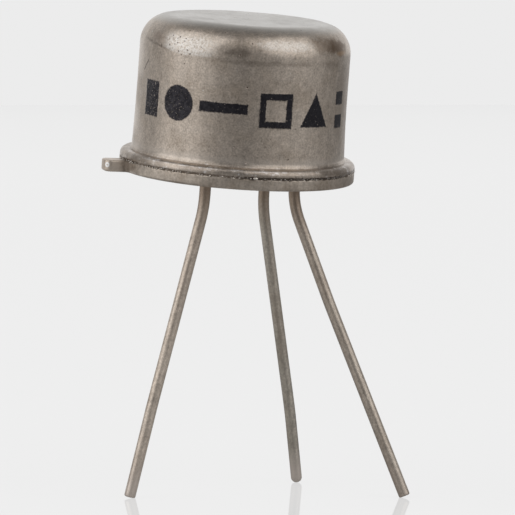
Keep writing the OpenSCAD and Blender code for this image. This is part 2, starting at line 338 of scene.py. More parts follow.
def group_tree(name, family, inputs, outputs):
    """A node group with its own inputs and outputs; inputs are (name, kind) or (name, kind, default)."""
    tree = bpy.data.node_groups.new(name, family + "NodeTree")
    for label, kind, *default in inputs:
        socket = tree.interface.new_socket(name=label, in_out="INPUT", socket_type="NodeSocket" + kind)
        if default:
            socket.default_value = default[0]
    for label, kind in outputs:
        tree.interface.new_socket(name=label, in_out="OUTPUT", socket_type="NodeSocket" + kind)
    return tree, tree.nodes.new("NodeGroupInput").outputs, tree.nodes.new("NodeGroupOutput").inputs


def dull_plating():
    """Old dull plating, with cloudy tarnish and a fine grain. Coordinates in millimetres."""
    tree, given, result = group_tree(
        "dull_plating",
        "Shader",
        [
            ("Vector", "Vector"),
            ("Colour", "Color", (0.5, 0.5, 0.5, 1)),
            ("Tarnish Colour", "Color", (0.2, 0.18, 0.16, 1)),
            ("Tarnish", "Float", 0.5),
            ("Cloud Scale", "Float", 1.0),
            ("Grain Scale", "Float", 16.0),
            ("Grain Contrast", "Float", 0.15),
            ("Roughness", "Float", 0.4),
        ],
        [("Colour", "Color"), ("Roughness", "Float"), ("Height", "Float")],
    )
    place = given["Vector"]
    clouds = mottle(place, (given["Cloud Scale"], 6.0, 0.62), 0.38, 0.72)
    grain = speckle(place, given["Grain Scale"], 3.0, 0.6)
    coarse = speckle(place, times(given["Grain Scale"], 0.3), 3.0, 0.55)
    tarnished = times(clouds, given["Tarnish"])
    colour = blend(tarnished, given["Colour"], given["Tarnish Colour"])
    both = plus(times(grain, 0.7), times(coarse, 0.3))
    spread = times(minus(both, 0.5), given["Grain Contrast"])
    tree.links.new(shade(colour, maths("MULTIPLY_ADD", spread, 5.0, 1.0)), result["Colour"])
    rough = maths("MULTIPLY_ADD", tarnished, 0.16, given["Roughness"])
    rough = plus(rough, times(minus(coarse, 0.5), 0.2))
    tree.links.new(rough, result["Roughness"])
    tree.links.new(both, result["Height"])
    return tree


plating = dull_plating()


def fill(tree, group, values):
    """Puts a shader node group in a material with its own values; returns its outputs."""
    return add(tree, "ShaderNodeGroup", values, node_tree=group).outputs


def blank(name):
    """A material without nodes, and its tree."""
    material = bpy.data.materials.new(name)
    material.use_nodes = True
    material.node_tree.nodes.clear()
    return material, material.node_tree


def metal(name, roughness, **sockets):
    """A material with one Principled shader; returns the material, its tree and the shader."""
    material, tree = blank(name)
    shader = add(tree, "ShaderNodeBsdfPrincipled", {"Metallic": 1.0, "Roughness": roughness, **sockets})
    add(tree, "ShaderNodeOutputMaterial", {0: shader.outputs[0]})
    return material, tree, shader


def upright(tree):
    """Object coordinates turned back to the upright can, in millimetres."""
    place = add(tree, "ShaderNodeTexCoord").outputs["Object"]
    values = {"Vector": place, "Rotation": upright_angles, "Scale": (1000, 1000, 1000)}
    return made(tree, "ShaderNodeMapping", values, vector_type="POINT")


SEAM_HEIGHT = 0.465
SOOT_COLOUR = (0.07, 0.053, 0.042)
DULL_COLOUR = (0.25, 0.198, 0.15)
DIRT_AND_SHADE_COLOUR = (0.22, 0.17, 0.13)
BURNT_SIDE = (0.292, -0.956, 0)
TAB_ROOT = (-4.6, -0.45, 0)
# Where the painted highlight ring on the tab's end lies, and its radius
TAB_END = (-5.33, -0.32, 0.27)
HIGHLIGHT_RING_RADIUS = 0.065


def burnt_seam():
    """Soot of the weld, on both sides of the seam. Coordinates and Height in millimetres."""
    inputs = [("Vector", "Vector"), ("Height", "Float", 0.0)]
    tree, given, result = group_tree("burnt_seam", "Shader", inputs, [("Soot", "Float")])
    away = apart(given["Height"], SEAM_HEIGHT)
    ragged = unevenness(given["Vector"], (5.5, 4.0, 0.7), 0.2)
    near = ramp(plus(away, ragged), 0.075, 0.03)
    flat = flattened(given["Vector"])
    rim = ramp(apart(measure("LENGTH", flat), RIM_RADIUS), 0.14, 0.08)
    # The weld burnt most on one side
    amount = ramp(measure("DOT_PRODUCT", flat, BURNT_SIDE), 3.3, 4.2, 0.3, 0.9)
    tree.links.new(times(near, rim, amount), result["Soot"])
    return tree


burnt = burnt_seam()


def header_plating():
    material, tree, shader = metal("header_plating", 0.42)
    place = upright(tree)
    axes = axes_of(place)
    base = fill(tree, plating, {
        "Vector": place, "Colour": (0.5, 0.437, 0.375), "Tarnish Colour": DULL_COLOUR, "Tarnish": 0.6,
        "Cloud Scale": 1.6, "Grain Scale": 11.0, "Grain Contrast": 0.3, "Roughness": 0.36,
    })
    sheared = mottle(drawn_out(axes, axes[2], 0.18), (8.0, 3.0, 0.6), 0.3, 0.8, 0.9, 1.07)
    colour = shade(base["Colour"], sheared)
    # Painted shade: the side away from the tab is darkened in colour
    colour = blend(ramp(axes[0], 0.8, 3.4, 0.0, 0.3), colour, DULL_COLOUR)
    # The tab is lighter, with a painted highlight ringing a spot at its end, and dirt and painted shade sit
    # in the fillets at its root
    tab = ramp(axes[0], -4.66, -4.95, 0.0, 0.6)
    colour = blend(tab, colour, (0.7, 0.6, 0.51))
    # A painted highlight: a light ring round a spot on the tab's end
    from_highlight_ring = apart(measure("DISTANCE", place, TAB_END), HIGHLIGHT_RING_RADIUS)
    colour = blend(ramp(from_highlight_ring, 0.05, 0.015), colour, (0.97, 0.96, 0.95))
    # Dirt and painted shade darken the fillets at the tab's root
    from_root = measure("DISTANCE", flattened(place), TAB_ROOT)
    spread = maths("MULTIPLY_ADD", speckle(place, 5.0, 4.0, 0.6), 0.2, from_root)
    dirt_and_shade = ramp(spread, 0.5, 0.12)
    colour = blend(times(dirt_and_shade, 0.42), colour, DIRT_AND_SHADE_COLOUR)
    soot = fill(tree, burnt, {"Vector": place, "Height": axes[2]})["Soot"]
    rough = maths("MULTIPLY_ADD", soot, 0.25, base["Roughness"])
    rough = maths("MULTIPLY_ADD", dirt_and_shade, 0.45, rough)
    feed(shader, {"Base Color": blend(soot, colour, SOOT_COLOUR), "Roughness": rough})
    relief(shader, plus(base["Height"], times(sheared, 1.5)), 2.0e-6)
    return material


settle(build_header(), header_plating(), "header")


# Glass beads. Two beads of dark sealing glass, melted in place, hold the emitter's and the base's posts in
# the header and keep them apart from it. Their ends sag between wire and metal. The solids are the frame's.


def place_in_mm(tree):
    return vectors("MULTIPLY", add(tree, "ShaderNodeTexCoord").outputs["Object"], (1000, 1000, 1000))


def dress(node, material):
    """Gives a solid of the frame its finish."""
    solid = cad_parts[node]
    if solid.material_slots:
        for slot in solid.material_slots:
            slot.material = material
    else:
        solid.data.materials.append(material)


def sealing_glass():
    material, tree, shader = metal("sealing_glass", 0.09, Metallic=0.0, IOR=1.52)
    place = place_in_mm(tree)
    swirl = speckle(place, 2.4, 4.0, 0.6)
    colour = blend(ramp(swirl, 0.35, 0.7), (0.018, 0.035, 0.036), (0.06, 0.085, 0.08))
    feed(shader, {"Base Color": colour, "Roughness": ramp(swirl, 0.3, 0.7, 0.06, 0.2)})
    bubbles = made(tree, "ShaderNodeTexVoronoi", {"Vector": place, "Scale": 7.0})
    relief(shader, plus(ramp(bubbles, 0.0, 0.3), speckle(place, 3.0, 3.0)), 4.0e-6, 0.5)
    return material


glass_finish = sealing_glass()
dress("emitter_glass", glass_finish)
dress("base_glass", glass_finish)


# Leads. Three round wires, dull with old plating. Two are posts that pass through the beads and end in a
# flattened head inside the can; the third is butted into the header's recess. All were bent by hand to
# splay, and each bows slightly below its bend. Every lead is swept along its path by one node tree.

WIRE_RADIUS = 0.22
BOW_RADIUS = 30.0
STAND_HEIGHT = 12.43
POST_TOP = 2.25
HEAD_RADIUS = 0.4
HEAD_THICKNESS = 0.14
HEAD_EDGE = 0.02
HEAD_CHAMFER = 0.15
HEAD_LOWER_CHAMFER = 0.12
HEAD_STEP = 0.004
STRAIGHT_SPACING = 0.2
CURVE_SPACING = 0.12
WIRE_SIDES = 48
TIP_EDGE = 0.06
ROUND_TIP_EDGE = 0.21
up = Vector((*(-math.sin(LEAN) * direction(LEAN_DIRECTION)), math.cos(LEAN)))


def wire_path(at, drop, bend, bend_radius, run, bow, heading, end_edge, head):
    """Points of a lead's middle line in the upright can, with the wire's relative girth at each."""
    bend, bow, heading = math.radians(bend), math.radians(bow), math.radians(heading)
    start = Vector((*(LEAD_CIRCLE * direction(at)), 0))
    outward = Vector((*direction(heading), 0))
    points = []

    def straight(origin, angle, length):
        way = outward * math.sin(angle) + Vector((0, 0, -math.cos(angle)))
        steps = max(1, round(length / STRAIGHT_SPACING))
        for n in range(1, steps + 1):
            points.append((origin + way * length * n / steps, 1.0))
        return origin + way * length

    def curve(origin, angle, turn, radius):
        """An arc that starts at the given angle from straight down and turns on by another."""
        steps = max(4, round(abs(turn) * radius / CURVE_SPACING))
        side = math.copysign(1, turn)
        for n in range(1, steps + 1):
            a = angle + turn * n / steps
            across = side * radius * (math.cos(angle) - math.cos(a))
            down = side * radius * (math.sin(a) - math.sin(angle))
            points.append((origin + outward * across + Vector((0, 0, -down)), 1.0))
        return points[-1][0]

    top = BRAZE_RECESS
    if head:
        wide = HEAD_RADIUS / WIRE_RADIUS
        for below, girth in (
            (0, wide - HEAD_CHAMFER),
            (HEAD_EDGE, wide),
            (HEAD_THICKNESS - HEAD_EDGE, wide),
            (HEAD_THICKNESS, wide - HEAD_LOWER_CHAMFER),
        ):
            points.append((start + Vector((0, 0, POST_TOP - below)), girth))
        top = POST_TOP - HEAD_THICKNESS - HEAD_STEP
    points.append((start + Vector((0, 0, top)), 1.0))
    place = straight(start + Vector((0, 0, top)), 0.0, top + drop)
    place = curve(place, 0.0, bend, bend_radius)
    place = straight(place, bend, run)
    place = curve(place, bend, bow, BOW_RADIUS)
    # The last run is as long as it takes for the tip's edge to stand on the floor
    last = bend + bow
    way = outward * math.sin(last) + Vector((0, 0, -math.cos(last)))
    fall = -up.dot(way)
    slope = math.sqrt(1 - fall * fall)
    length = (STAND_HEIGHT + up.dot(place) - end_edge - (WIRE_RADIUS - end_edge) * slope) / fall + end_edge
    straight(place, last, length - end_edge)
    for n in range(1, 9):
        a = math.pi / 2 * n / 8
        inset = end_edge * (1 - math.cos(a))
        points.append((place + way * (length - end_edge * (1 - math.sin(a))), 1 - inset / WIRE_RADIUS))
    return points


def end_tree(tree, geometry, material, result):
    """Ends a geometry node tree with plain mesh in its material."""
    whole = made(tree, "GeometryNodeRealizeInstances", {0: geometry})
    dressed = made(tree, "GeometryNodeSetMaterial", {"Geometry": whole, "Material": material})
    tree.links.new(dressed, result[0])


def wire_tree():
    tree, given, result = group_tree(
        "drawn_wire",
        "Geometry",
        [("Path", "Geometry"), ("Wire Radius", "Float"), ("Sides", "Int"), ("Material", "Material")],
        [("Wire", "Geometry")],
    )
    line = made(tree, "GeometryNodeMeshToCurve", {0: given["Path"]})
    girth = made(tree, "GeometryNodeInputNamedAttribute", {"Name": "girth"}, data_type="FLOAT")
    values = {"Resolution": given["Sides"], "Radius": given["Wire Radius"]}
    ring = made(tree, "GeometryNodeCurvePrimitiveCircle", values)
    values = {"Geometry": ring, "Name": "side", "Value": made(tree, "GeometryNodeInputPosition")}
    ring = made(tree, "GeometryNodeStoreNamedAttribute", values, data_type="FLOAT_VECTOR", domain="POINT")
    values = {"Curve": line, "Profile Curve": ring, "Scale": girth, "Fill Caps": True}
    end_tree(tree, made(tree, "GeometryNodeCurveToMesh", values), given["Material"], result)
    return tree


def bake_nodes(piece, tree, values):
    """Runs a geometry node tree on a piece and keeps the result as its plain mesh."""
    tree.is_modifier = True
    modifier = piece.modifiers.new(tree.name, "NODES")
    modifier.node_group = tree
    for item in tree.interface.items_tree:
        if item.in_out == "INPUT" and item.name in values:
            modifier[item.identifier] = values[item.name]
    keep_evaluated(piece)


def lead_plating(name, lit_tint, brightening):
    material, tree, shader = metal(name, 0.36)
    along = add(tree, "ShaderNodeAttribute", attribute_name="along").outputs["Fac"]
    side = add(tree, "ShaderNodeAttribute", attribute_name="side").outputs["Vector"]
    drawn = drawn_out(axes_of(side), along, 0.07)
    place = place_in_mm(tree)
    base = fill(tree, plating, {
        "Vector": place, "Colour": lit_tint, "Tarnish Colour": (0.25, 0.185, 0.14), "Tarnish": 0.22,
        "Cloud Scale": 0.9, "Grain Scale": 11.0, "Grain Contrast": 0.3, "Roughness": 0.42,
    })
    lines = speckle(drawn, 16.0, 3.0, 0.65)
    colour = shade(base["Colour"], ramp(lines, 0.3, 0.75, 0.88, 1.12))
    # Brown runs lengthwise; under the header the wire is darker and browner, a painted shade, and towards the
    # tips lighter, a painted highlight
    level = axes_of(place)[2]
    for amount, tone in (
        (mottle(drawn, (2.2, 4.0, 0.6), 0.42, 0.64, 0.0, 0.4), (0.29, 0.215, 0.16)),
        (ramp(level, -2.6, -0.4, 0.0, 0.75), (0.25, 0.175, 0.12)),
        (ramp(level, -10.7, -12.2, 0.0, brightening), (0.72, 0.64, 0.58)),
    ):
        colour = blend(amount, colour, tone)
    feed(shader, {"Base Color": colour, "Roughness": base["Roughness"]})
    relief(shader, plus(base["Height"], lines), 2.5e-6)
    return material


wire = wire_tree()
# The three wires share one plating; their tints differ mostly in brightness, as painted light and shade:
# lightest on the emitter, darkest on the collector, which the others shade
for node, lit_tint, brightening, path in (
    (
        "emitter_lead",
        (0.69, 0.6, 0.515),
        0.7,
        wire_path(
            EMITTER_AT, drop=0.55, bend=11.8, bend_radius=5.2, run=7.1, bow=-0.95,
            heading=187.8, end_edge=TIP_EDGE, head=True,
        ),
    ),
    (
        "base_lead",
        (0.5, 0.44, 0.377),
        0.15,
        wire_path(
            BASE_AT, drop=0.1, bend=25.9, bend_radius=3.1, run=3.0, bow=1.5,
            heading=320.5, end_edge=TIP_EDGE, head=True,
        ),
    ),
    (
        "collector_lead",
        (0.49, 0.45, 0.39),
        0.8,
        wire_path(
            COLLECTOR_AT, drop=0.9, bend=11.65, bend_radius=6.0, run=7.25, bow=-1.95,
            heading=348.7, end_edge=ROUND_TIP_EDGE, head=False,
        ),
    ),
):
    lead_finish = lead_plating(node + "_plating", lit_tint, brightening)
    line = bpy.data.meshes.new(node + "_wire")
    line.from_pydata([p for p, g in path], [(n, n + 1) for n in range(len(path) - 1)], [])
    girths = line.attributes.new("girth", "FLOAT", "POINT")
    lengths = line.attributes.new("along", "FLOAT", "POINT")
    travelled = 0.0
    for n, (point, girth) in enumerate(path):
        if n:
            travelled += (point - path[n - 1][0]).length
        girths.data[n].value = girth
        lengths.data[n].value = travelled
    lead = new_object(node + "_wire", line)
    bake_nodes(lead, wire, {"Wire Radius": WIRE_RADIUS, "Sides": WIRE_SIDES, "Material": lead_finish})
    settle(lead, lead_finish, node, sharp=50)


# Brazed joint. Braze fills the recess round the collector's wire and runs down the wire in a hollow fillet.
# It was plated over with the header, so it is duller and yellower than the wire.


def braze_metal():
    material, tree, shader = metal("brazed_joint", 0.4)
    place = place_in_mm(tree)
    clouds = speckle(place, 3.5, 4.0, 0.6)
    colour = blend(ramp(clouds, 0.3, 0.7), (0.26, 0.22, 0.15), (0.47, 0.42, 0.32))
    feed(shader, {"Base Color": colour, "Roughness": ramp(clouds, 0.3, 0.7, 0.5, 0.32)})
    relief(shader, speckle(place, 7.0, 3.0), 8.0e-6, 0.8)
    return material


dress("collector_braze", braze_metal())


# Chip. Sealed in the can: a silicon chip soldered to the platform with gold, two interleaved combs of
# evaporated aluminium on it, and a gold wire looped from each comb to its post. The solids are the
# frame's, which hold every finger.


def inner_finish(name, colour, second, metallic, roughness, cloud_scale, grain_depth):
    material, tree, shader = metal(name, roughness, Metallic=metallic)
    place = place_in_mm(tree)
    clouds = speckle(place, cloud_scale, 4.0, 0.6)
    rough = ramp(clouds, 0.2, 0.8, roughness * 0.8, roughness * 1.3)
    feed(shader, {"Base Color": blend(ramp(clouds, 0.3, 0.7), colour, second), "Roughness": rough})
    relief(shader, speckle(place, cloud_scale * 3), grain_depth, 0.6)
    return material


solder = inner_finish("gold_solder", (0.75, 0.55, 0.2), (0.55, 0.42, 0.22), 1.0, 0.35, 12.0, 3.0e-6)
silicon = inner_finish("silicon", (0.045, 0.05, 0.07), (0.07, 0.06, 0.09), 0.0, 0.12, 6.0, 2.0e-7)
film = inner_finish("chip_metal", (0.82, 0.82, 0.83), (0.72, 0.72, 0.74), 1.0, 0.25, 30.0, 3.0e-7)
gold = inner_finish("bond_wire", (0.83, 0.62, 0.25), (0.75, 0.55, 0.24), 1.0, 0.22, 40.0, 2.0e-7)
for node, finish in (
    ("die_solder", solder),
    ("die", silicon),
    ("emitter_metal", film),
    ("base_metal", film),
    ("emitter_wire", gold),
    ("base_wire", gold),
):
    dress(node, finish)


# Cap. A can deep-drawn from thin steel and plated with dull nickel. Its top corner is a wide radius, its
# wall widens slightly towards the foot, and its flange is welded to the header. A few plain marks are
# printed on the wall in black ink.

CAP_RADIUS = 4.09
CAP_WALL = 0.25
CAP_TOP = 6.1
CAP_CORNER = 1.14
CAP_BOTTOM = 0.48
FLANGE_TOP = 0.81
FLANGE_EDGE = 0.24
FLANGE_LOWER_EDGE = 0.06
FOOT_WIDENING = 0.05
FLARE_RADIUS = 0.45
FLARE_WIDTH = 0.05
TAPER_TOP = 2.51
CAP_STEPS = 320
WAVE_DEPTH = 0.012
WAVE_SCALE = 0.55
WAVE_INSET = 0.008
WAVE_FADE = 1.5
RIPPLE_DEPTH = 0.004
RIPPLE_SCALE = 1.7
RIPPLE_SHIFT = Vector((7, 3, 1))


def build_cap():
    foot = CAP_RADIUS + FOOT_WIDENING
    corner = CAP_RADIUS - CAP_CORNER
    spring = CAP_TOP - CAP_CORNER
    flare_height = math.sqrt(FLARE_RADIUS**2 - (FLARE_RADIUS - FLARE_WIDTH) ** 2)
    flare_slope = math.degrees(math.acos(1 - FLARE_WIDTH / FLARE_RADIUS))
    flare_top = FLANGE_TOP + flare_height
    taper = FOOT_WIDENING / (TAPER_TOP - FLANGE_TOP)
    start = foot - taper * flare_height
    low_edge = FLANGE_LOWER_EDGE
    outside = [(RIM_RADIUS - low_edge, CAP_BOTTOM)]
    outside += arc((RIM_RADIUS - low_edge, CAP_BOTTOM + low_edge), low_edge, -75, 0, 5)
    outside += arc((RIM_RADIUS - FLANGE_EDGE, FLANGE_TOP - FLANGE_EDGE), FLANGE_EDGE, 0, 90, 12)
    outside += arc((start + FLARE_RADIUS, flare_top), FLARE_RADIUS, 180 + flare_slope, 180, 10)
    outside += [(start - taper * t, flare_top + t) for t in (0.15, 0.35, 0.6, 0.9, 1.2)]
    outside += [(CAP_RADIUS, TAPER_TOP + (spring - TAPER_TOP) * t) for t in (0.2, 0.4, 0.6, 0.8)]
    outside += arc((corner, spring), CAP_CORNER, 0, 90, 30)
    outside += [(corner * t, CAP_TOP) for t in (0.9, 0.78, 0.64, 0.5, 0.36, 0.22, 0.1)]
    inner = CAP_RADIUS - CAP_WALL
    inside = [(corner * t, CAP_TOP - CAP_WALL) for t in (0.3, 0.7)]
    inside += arc((corner, spring), CAP_CORNER - CAP_WALL, 90, 0, 10)
    inside += [(inner, TAPER_TOP), (inner + FOOT_WIDENING, FLANGE_TOP), (inner + FOOT_WIDENING, CAP_BOTTOM)]

    def unevenly(place, z):
        """The drawn wall and the top's corner are never quite true."""
        outward = Vector((place.x, place.y, 0)).normalized()
        push = WAVE_DEPTH * noise.noise(place * WAVE_SCALE)
        push += RIPPLE_DEPTH * noise.noise(place * RIPPLE_SCALE + RIPPLE_SHIFT)
        if z > spring:
            rise = (z - spring) / CAP_CORNER
            outward = (outward * (1 - rise) + Vector((0, 0, 1)) * rise).normalized()
        return outward * (push - WAVE_INSET) * min(1.0, (z - flare_top) / WAVE_FADE)

    bm = bmesh.new()

    def ring(radius, z, outer):
        places = [Vector((*direction(2 * math.pi * n / CAP_STEPS, radius), z)) for n in range(CAP_STEPS)]
        if outer and z > flare_top:
            places = [place + unevenly(place, z) for place in places]
        return [bm.verts.new(place) for place in places]

    loops = [ring(r, z, True) for r, z in outside]
    top = loops[-1]
    loops.append([bm.verts.new(sum((v.co for v in top), Vector()) / len(top))])
    loops.append([bm.verts.new((0, 0, CAP_TOP - CAP_WALL))])
    loops += [ring(r, z, False) for r, z in inside]
    skin(bm, loops)
    return object_from(bm, "cap_shell")


PRINT_FACING = math.radians(251.4)


def printed_marks():
    """A row of plain marks round the wall. Around and Height are in millimetres; the print starts at 0."""
    tree, given, result = group_tree(
        "printed_marks",
        "Shader",
        [("Around", "Float", 0.0), ("Height", "Float", 0.0), ("Vector", "Vector")],
        [("Ink", "Float"), ("Thin Ink", "Float")],
    )
    around, high, place = given["Around"], given["Height"], given["Vector"]

    def block(s, z, half_width, half_height):
        beside = minus(apart(around, s), half_width)
        return maths("MAXIMUM", beside, minus(apart(high, z), half_height))

    def disc(s, z, radius):
        return minus(hypotenuse(minus(around, s), minus(high, z)), radius)

    def window(s, z, half, half_line):
        square = maths("MAXIMUM", apart(around, s), apart(high, z))
        return minus(apart(square, half - half_line), half_line)

    def wedge(s, z, size):
        above = minus(high, z)
        slant = plus(times(apart(around, s), 0.88), times(above, 0.47))
        under = minus(times(above, -1.0), size * 0.75)
        return maths("MAXIMUM", minus(slant, size * 0.47), under)

    nearest = block(-4.05, 3.0, 0.45, 0.68)
    for mark in (
        disc(-2.55, 3.0, 0.68),
        block(-0.65, 3.0, 0.95, 0.2),
        window(1.4, 3.0, 0.66, 0.13),
        wedge(3.15, 2.95, 0.75),
        block(4.75, 3.45, 0.32, 0.26),
        block(4.75, 2.55, 0.32, 0.26),
    ):
        nearest = maths("MINIMUM", nearest, mark)
    edge = ramp(plus(nearest, unevenness(place, (9.0, 3.0, 0.7), 0.11)), 0.03, -0.03)
    # The ink is thin towards the left and at its lower edge
    thin = plus(ramp(around, 0.0, -4.5, 0.0, 0.06), ramp(high, 3.0, 2.2, 0.0, 0.025))
    holes = ramp(minus(speckle(place, 16.0, 2.0, 0.75), thin), 0.2, 0.36)
    tree.links.new(times(edge, holes), result["Ink"])
    mottled = mottle(place, (6.0, 4.0, 0.75), 0.36, 0.62)
    tree.links.new(times(mottled, ramp(around, 1.0, -3.8, 0.3, 1.0)), result["Thin Ink"])
    return tree


def handling_marks():
    """Pits, dust and scratches, each as a mask. Coordinates in millimetres."""
    tree, given, result = group_tree(
        "handling_marks",
        "Shader",
        [("Vector", "Vector"), ("Pit Share", "Float", 0.3), ("Dust Share", "Float", 0.1)],
        [("Pits", "Float"), ("Dust", "Float"), ("Scratches", "Float")],
    )
    place = given["Vector"]

    def dots(scale, share, size, shift):
        cells = add(tree, "ShaderNodeTexVoronoi", {"Vector": vectors("ADD", place, shift), "Scale": scale})
        chance = add(tree, "ShaderNodeSeparateColor", {0: cells.outputs["Color"]}).outputs
        there = maths("LESS_THAN", chance[0], share)
        reach = maths("MULTIPLY_ADD", chance[1], size, size * 0.5)
        near = maths("DIVIDE", cells.outputs["Distance"], reach)
        return times(ramp(near, 1.0, 0.55), there)

    def scratches(turn, shift, thin):
        values = {"Vector": place, "Rotation": turn, "Scale": (1.6, 1.6, 0.16), "Location": (shift, 0, shift)}
        away = apart(speckle(made(tree, "ShaderNodeMapping", values), 1.5, 1.0, 0.4), 0.52)
        return times(ramp(away, thin, 0.0), mottle(place, (1.4, 2.0), 0.56, 0.66))

    tree.links.new(dots(9.0, given["Pit Share"], 0.28, (3.1, 1.7, 0.4)), result["Pits"])
    tree.links.new(dots(4.5, given["Dust Share"], 0.1, (0.6, 5.3, 2.2)), result["Dust"])
    lines = scratches((0.5, 0.2, 0.4), 2.0, 0.0035)
    lines = maths("MAXIMUM", lines, scratches((-0.4, 0.9, 1.2), 9.0, 0.003))
    tree.links.new(lines, result["Scratches"])
    return tree


def ragged_patch():
    """A ragged patch on the cap: Facing in radians and Height say where; sizes are in millimetres."""
    tree, given, result = group_tree(
        "ragged_patch",
        "Shader",
        [
            ("Vector", "Vector"),
            ("Facing", "Float", 0.0),
            ("Height", "Float", 0.0),
            ("Half Width", "Float", 1.0),
            ("Half Height", "Float", 0.3),
            ("Raggedness", "Float", 1.0),
            ("Softness", "Float", 0.3),
        ],
        [("Mask", "Float")],
    )
    values = {"Vector": given["Vector"], "Axis": (0, 0, 1), "Angle": times(given["Facing"], -1.0)}
    axes = axes_of(made(tree, "ShaderNodeVectorRotate", values, rotation_type="AXIS_ANGLE"))
    across = maths("DIVIDE", axes[1], given["Half Width"])
    high = maths("DIVIDE", minus(axes[2], given["Height"]), given["Half Height"])
    ragged = unevenness(given["Vector"], (2.6, 5.0, 0.65), given["Raggedness"])
    away = plus(hypotenuse(across, high), ragged)
    inside = ramp(away, 1.0, minus(1.0, given["Softness"]))
    # It shows on its own side of the cap only
    tree.links.new(times(inside, ramp(axes[0], 0.0, 0.5)), result["Mask"])
    return tree


SCRATCH_AROUND = -4.67
SCRATCH_HEIGHT = 4.2
# Where the painted highlight on the flange's edge lies
EDGE_HIGHLIGHT_AROUND = -0.7
EDGE_HIGHLIGHT_HEIGHT = FLANGE_TOP - 0.085
# facing in degrees, height, half width and half height in millimetres, amount, colour
# Most rows are stains; the rows at 312, 320 and 300 darken the right side and the rows at 308 and 262 a band
# below the shoulder, all painted shade
STAINS_AND_SHADE = (
    (303, 5.5, 1.2, 0.36, 0.6, (0.2, 0.14, 0.095)),
    (315, 5.38, 0.95, 0.44, 0.92, (0.14, 0.094, 0.06)),
    (312, 0.68, 1.7, 0.36, 0.62, (0.115, 0.087, 0.066)),
    (320, 3.3, 0.8, 2.4, 0.45, (0.26, 0.21, 0.165)),
    (308, 4.72, 1.3, 0.26, 0.3, (0.22, 0.18, 0.145)),
    (317, 5.16, 0.6, 0.12, 0.55, (0.34, 0.21, 0.11)),
    (246, 5.12, 0.9, 0.3, 0.5, (0.2, 0.16, 0.13)),
    (196, 5.35, 0.7, 0.3, 0.4, (0.3, 0.23, 0.19)),
    (262, 4.78, 3.4, 0.16, 0.45, (0.2, 0.165, 0.135)),
    (300, 3.6, 0.9, 1.4, 0.12, (0.25, 0.2, 0.15)),
    (200.5, 5.05, 0.06, 0.13, 0.6, (0.1, 0.075, 0.06)),
)


